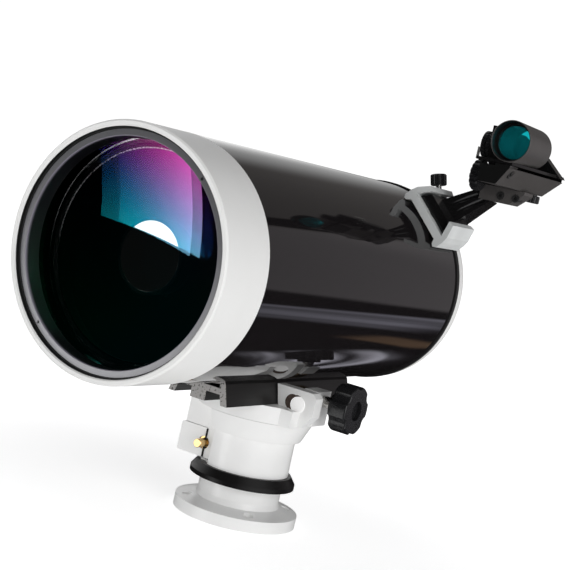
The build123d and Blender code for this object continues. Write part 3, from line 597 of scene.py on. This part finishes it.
# a black strip of painted shade in the gap where the worm block meets the round housing
HOUSING_R = 30.2 * MM
block_low, block_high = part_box("worm_block")
corner_x = -sqrt(HOUSING_R ** 2 - block_low.y ** 2)
block("worm_gap_shade",
      (corner_x - 0.2 * MM, block_low.y - 0.9 * MM, block_low.z + 0.3 * MM),
      (corner_x + 0.9 * MM, block_low.y + 3 * MM, block_high.z - 0.3 * MM), "head",
      materials["inner_black"])

# the ear's pin has a bright end; beside it a brown disc is painted shade, the crescent of the
# bore's wall in shadow
PIN_R = 5.3 * MM
bore_shade_brown = finish("bore_shade_brown", (0.13, 0.095, 0.08), 0.4, metal=0.5, vary=0.3, mottle=300)
for name, x, z, y, material in (("ear_pin", 37.2, 87.6, -15.5, pin_white()),
                                ("ear_bore", 32.9, 88.3, -15.12, bore_shade_brown)):
    lathe(name, [(0.0, y * MM), (PIN_R - 0.15 * MM, y * MM), (PIN_R - 0.12 * MM, y * MM),
                 (PIN_R, (y + 0.1) * MM), (PIN_R, (y + 0.15) * MM), (PIN_R, (y + 3) * MM)],
          "saddle", material, centre=(x * MM, z * MM), turns=48)

# ---- camera --------------------------------------------------------------------------------
CAMERA_PLACE = (0.4375, -0.7878, AXIS_Z + 0.0591)
CAMERA_AHEAD = (-0.4838, 0.87182, -0.07665)
CAMERA_RIGHT = (0.84547, 0.48820, 0.21640)

camera_data = bpy.data.cameras.new("camera")
camera_data.lens = 85.17
camera_data.sensor_width = 36.0
camera_data.clip_start = 0.05
camera_data.clip_end = 60.0
camera = bpy.data.objects.new("camera", camera_data)
scene.collection.objects.link(camera)
ahead = Vector(CAMERA_AHEAD).normalized()
down = ahead.cross(Vector(CAMERA_RIGHT).normalized())
right = down.cross(ahead)
camera.matrix_world = (Matrix.Translation(CAMERA_PLACE)
                       @ Matrix((right, -down, -ahead)).transposed().to_4x4())
scene.camera = camera

# ---- studio --------------------------------------------------------------------------------
scene.view_settings.view_transform = "Standard"
WHITE = (1.05, 1.05, 1.05)
# what gloss surfaces see around the object, in degrees: azimuth from, to and softness,
# lift from, to and softness, tilt, streakiness and colour; later bands cover earlier ones
BANDS = (
    (-30, 40, 5, 14, 90, 5, 0, 0, (0.165, 0.155, 0.15)),
    (5, 29, 14, -10.5, 22, 2, 0.3, 0, (0.42, 0.395, 0.405)),
    (14, 90, 10, -10.5, 22, 2, 0.3, 0, (0.31, 0.29, 0.3)),
    (-80, -13, 12, 3, 90, 5, 0, 0, (0.56, 0.56, 0.56)),
    (-112, -24, 10, 0, 90, 6, 0, 0, (1.1, 1.1, 1.1)),
    (-2, 32, 5, 21.2, 25.2, 0.5, 0.3, 0, (0.004, 0.004, 0.004)),
    (13, 34, 6, -19.4, -12.3, 1.0, 0, 0.5, (0.56, 0.55, 0.66)),
    (-15, 6, 4, -31, -24.3, 1.0, 0, 1.0, (0.85, 0.83, 0.95)),
    (4, 15, 3, -23.6, -20.6, 0.8, 0, 0, (0.24, 0.15, 0.09)),
    (60, 160, 20, -60, 90, 20, 0, 0, (0.75, 0.75, 0.76)),
)
TILT_CENTRE = 18


def world():
    """White for the camera and for soft light; a dim studio with bands in reflections."""
    setting = bpy.data.worlds.new("studio")
    setting.use_nodes = True
    scene.world = setting
    tree = setting.node_tree
    tree.nodes.clear()
    direction = tree.nodes.new("ShaderNodeTexCoord").outputs["Generated"]
    wobble = noise(tree, direction, 3.0, 2.0, (1, 1, 4))
    x, y, z = split(tree, direction)
    azimuth = product(tree, calc(tree, "ARCTAN2", x, y), 180 / pi)
    lift = product(tree, calc(tree, "ARCSINE", z), 180 / pi)
    lift = calc(tree, "ADD", lift, product(tree, calc(tree, "SUBTRACT", wobble, 0.5), 2.2))
    streak = noise(tree, direction, 2.0, 3.0, (0.5, 0.5, 16))
    level = FLAT_BLACK
    for start, end, soft_side, low, high, soft_top, tilt, streaky, colour in BANDS:
        height = calc(tree, "MULTIPLY_ADD", azimuth, -tilt, lift)
        shift = TILT_CENTRE * tilt
        inside = product(tree, window(tree, azimuth, start, end, soft_side),
                         window(tree, height, low - shift, high - shift, soft_top))
        if streaky:
            inside = product(tree, inside,
                             ramp(tree, streak, 0.42, 0.58, 1.0 - streaky, 1.0))
        level = blend(tree, inside, level, colour)
    path = tree.nodes.new("ShaderNodeLightPath")
    on_camera = path.outputs["Is Camera Ray"]
    # seen through the glass from the front, the surroundings are white too
    seen = product(tree, path.outputs["Is Transmission Ray"],
                   between(tree, azimuth, -75, 15))
    through = blend(tree, seen, level, WHITE)
    overhead = ramp(tree, lift, 10, 50)
    soft = blend(tree, overhead, (0.48, 0.48, 0.485), (0.03, 0.03, 0.035))
    ambient = blend(tree, on_camera, soft, WHITE)
    plain = calc(tree, "MAXIMUM", on_camera, path.outputs["Is Diffuse Ray"])
    background = tree.nodes.new("ShaderNodeBackground")
    tree.links.new(blend(tree, plain, through, ambient), background.inputs["Color"])
    out = tree.nodes.new("ShaderNodeOutputWorld")
    tree.links.new(background.outputs[0], out.inputs[0])


def sheet(name, corners, material):
    """A flat stage object that isn't part of the telescope."""
    data = bpy.data.meshes.new(name)
    data.from_pydata(corners, [], [(0, 1, 2, 3)])
    data.materials.append(material)
    obj = bpy.data.objects.new(name, data)
    scene.collection.objects.link(obj)
    return obj


def floor(reach=20.0):
    """A pale floor whose glow is weaker near the object, as painted shade around it, and lifts
    to white away from it.
    """
    material, tree, shader = new_material("floor")
    x, y, z = split(tree, place(tree))
    # painted shade: the floor's glow is weaker close to the object than far from it
    glow = ramp(tree, length(tree, x, y), 0.05, 0.5, 0.66, 1.1)
    path = tree.nodes.new("ShaderNodeLightPath")
    dimmed = calc(tree, "MULTIPLY_ADD", path.outputs["Is Diffuse Ray"], -0.3, 1.0)
    tree.links.new(product(tree, glow, dimmed), shader.inputs["Emission Strength"])
    shader.inputs["Emission Color"].default_value = (1, 1, 1, 1)
    shader.inputs["Base Color"].default_value = (0.9, 0.9, 0.9, 1)
    shader.inputs["Roughness"].default_value = 0.9
    shader.inputs["Specular IOR Level"].default_value = 0.0
    obj = sheet("floor", [(-reach, -reach, 0), (reach, -reach, 0), (reach, reach, 0),
                          (-reach, reach, 0)], material)
    obj.visible_glossy = False
    obj.visible_transmission = False


def table_card(strength=2.2):
    """A bright card in front, seen only in reflections such as the lens's coloured one."""
    material = bpy.data.materials.new("table_card")
    material.use_nodes = True
    tree = material.node_tree
    tree.nodes.clear()
    emission = tree.nodes.new("ShaderNodeEmission")
    emission.inputs["Color"].default_value = (1, 1, 1, 1)
    emission.inputs["Strength"].default_value = strength
    out = tree.nodes.new("ShaderNodeOutputMaterial")
    tree.links.new(emission.outputs[0], out.inputs[0])
    left, edge, y = -0.82, -0.343, FRONT_Y - 0.7
    low, top = AXIS_Z - 1.1, AXIS_Z - 0.12
    obj = sheet("table_card", [(left, y, low), (edge, y, low), (edge, y, top),
                               (left, y, top)], material)
    obj.visible_camera = False
    obj.visible_diffuse = False
    obj.visible_shadow = False


def area_light(name, position, width, height, power):
    """A rectangular light aimed at the middle of the tube, unseen through the glass."""
    data = bpy.data.lights.new(name, "AREA")
    data.shape = "RECTANGLE"
    data.size = width
    data.size_y = height
    data.energy = power
    obj = bpy.data.objects.new(name, data)
    scene.collection.objects.link(obj)
    obj.location = position
    aim = (Vector((0, 0, AXIS_Z)) - Vector(position)).normalized()
    obj.rotation_euler = aim.to_track_quat("-Z", "Y").to_euler()
    obj.visible_transmission = False
    return obj


world()
floor()
table_card()
area_light("key", (1.5, -0.7, 0.55), 1.2, 1.4, 11.5)
fill = area_light("fill", (-0.9, -1.4, 0.06), 0.8, 0.8, 6)
fill.visible_glossy = False
